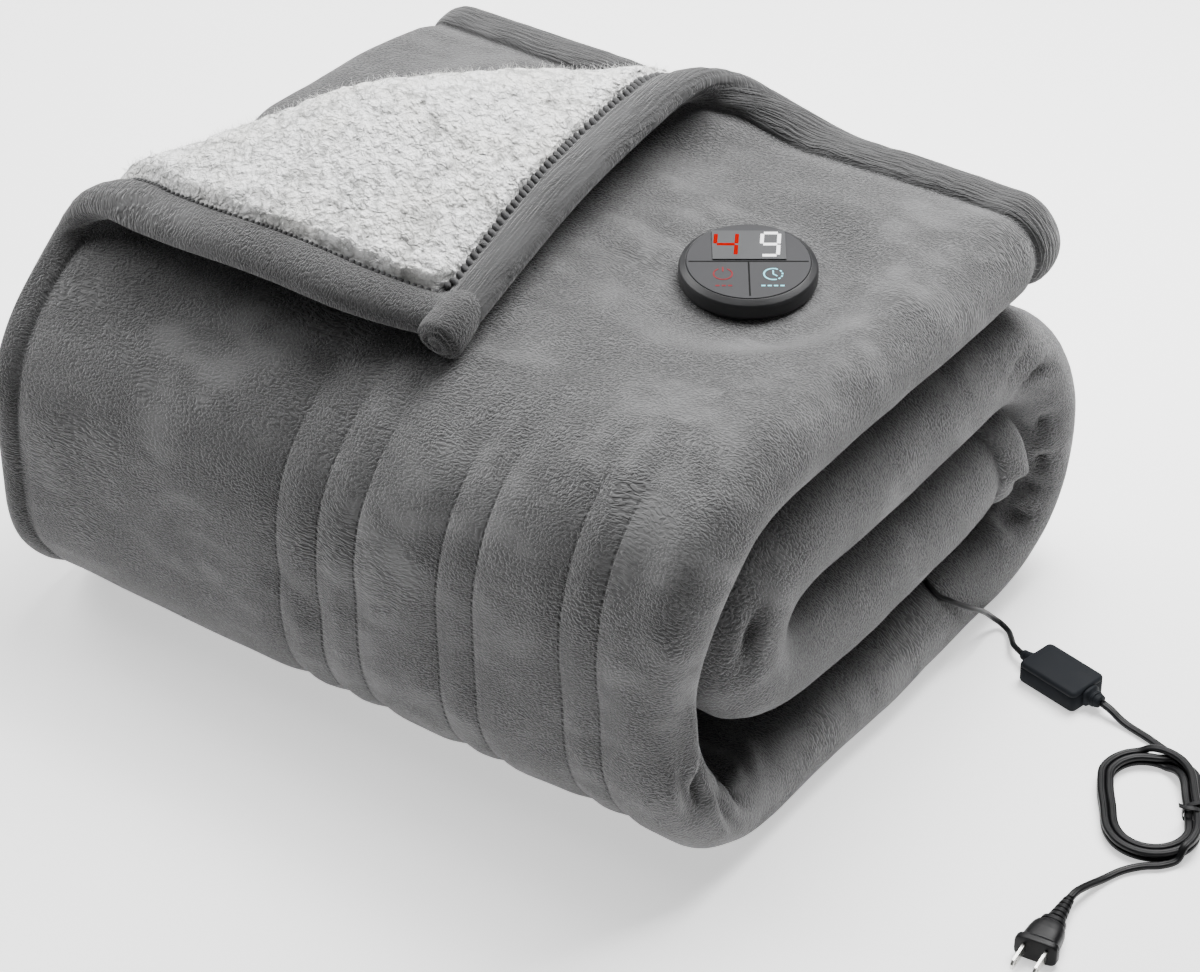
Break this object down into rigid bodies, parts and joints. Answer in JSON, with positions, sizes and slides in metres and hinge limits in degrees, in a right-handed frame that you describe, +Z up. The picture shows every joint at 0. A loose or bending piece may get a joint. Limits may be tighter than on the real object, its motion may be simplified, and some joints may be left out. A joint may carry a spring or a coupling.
{
  "type": "folded electric heated blanket with controller and coiled power cord",
  "caption": "Grey plush electric throw with a white sherpa lining, folded in thirds and rolled, a round controller on top, its adapter, coiled cord and plug beside it.",
  "frame": {"origin": "the middle of the folded blanket's box, in the plane of its flat underside", "axes": "+X is the pack's long side, towards the end where the roll and the cord show; -Y is the long rounded front face; +Z is up"},
  "size_m": [0.6821, 0.4204, 0.3085],
  "materials": {
    "grey_plush": "short brushed pile, matt with a soft sheen",
    "white_sherpa": "curly tufted pile, matt",
    "controller_black": "moulded, satin",
    "controller_grey": "satin overlay",
    "display_window": "smooth tinted window",
    "cord_black": "moulded flexible plastic, satin",
    "adapter_black": "fine-grained moulding",
    "tie_black": "smooth coated wire strip",
    "blade_metal": "plated, lightly brushed"
  },
  "bodies": {
    "root": {"blanket": "grey_plush", "sherpa_lining": "white_sherpa", "controller_housing": "controller_black", "controller_face": "controller_grey", "controller_display": "display_window", "cord_lead": "cord_black", "adapter_gland_in": "adapter_black", "adapter_box": "adapter_black", "adapter_gland_out": "adapter_black", "cord_mains_a": "cord_black", "cord_coil": "cord_black", "cord_mains_b": "cord_black", "tie": "tie_black", "plug_relief": "cord_black", "plug_body": "cord_black", "plug_blade_left": "blade_metal", "plug_blade_right": "blade_metal"}
  },
  "joints": []
}
